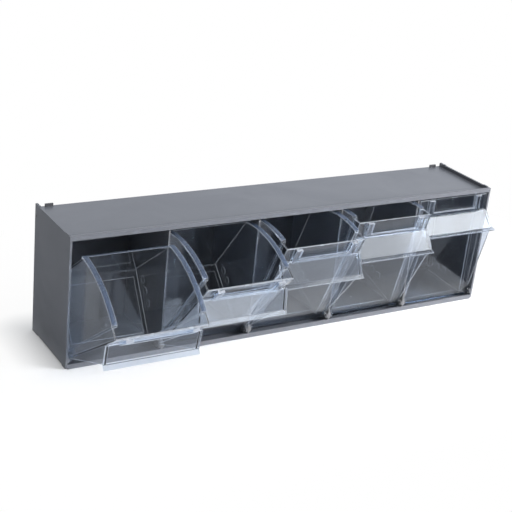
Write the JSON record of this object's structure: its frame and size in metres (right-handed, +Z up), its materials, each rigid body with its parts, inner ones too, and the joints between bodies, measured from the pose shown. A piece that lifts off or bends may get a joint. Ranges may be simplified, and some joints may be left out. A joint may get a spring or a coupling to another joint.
{
  "type": "tilt-out bin organizer",
  "caption": "Low wide storage cabinet whose clear bins tilt forward about pins at their lower front edge, each with a pull flap and a label pocket.",
  "frame": {"origin": "middle of the housing's underside", "axes": "+X along the width, +Y from the open front to the back, +Z up"},
  "size_m": [0.6, 0.2244, 0.164],
  "materials": {
    "housing_plastic": "satin",
    "panel_plastic": "satin",
    "divider_plastic": "satin",
    "clear_plastic": "gloss"
  },
  "bodies": {
    "cabinet": {"housing": "housing_plastic", "back_panel": "panel_plastic", "divider_1": "divider_plastic", "divider_2": "divider_plastic", "divider_3": "divider_plastic", "divider_4": "divider_plastic"},
    "bin_body_1": {"bin_1": "clear_plastic"},
    "bin_body_2": {"bin_2": "clear_plastic"},
    "bin_body_3": {"bin_3": "clear_plastic"},
    "bin_body_4": {"bin_4": "clear_plastic"},
    "bin_body_5": {"bin_5": "clear_plastic"}
  },
  "joints": [
    {"name": "bin_1_tilt", "type": "hinge", "parent": "cabinet", "child": "bin_body_1", "pos_m": [-0.2388, -0.0479, 0.0112], "axis": [1, 0, 0], "range_deg": [-53.8, 0]},
    {"name": "bin_2_tilt", "type": "hinge", "parent": "cabinet", "child": "bin_body_2", "pos_m": [-0.1194, -0.0479, 0.0112], "axis": [1, 0, 0], "range_deg": [-39, 14.8]},
    {"name": "bin_3_tilt", "type": "hinge", "parent": "cabinet", "child": "bin_body_3", "pos_m": [0, -0.0479, 0.0112], "axis": [1, 0, 0], "range_deg": [-23.8, 30]},
    {"name": "bin_4_tilt", "type": "hinge", "parent": "cabinet", "child": "bin_body_4", "pos_m": [0.1194, -0.0479, 0.0112], "axis": [1, 0, 0], "range_deg": [-12.9, 40.9]},
    {"name": "bin_5_tilt", "type": "hinge", "parent": "cabinet", "child": "bin_body_5", "pos_m": [0.2388, -0.0479, 0.0112], "axis": [1, 0, 0], "range_deg": [0, 53.8]}
  ]
}
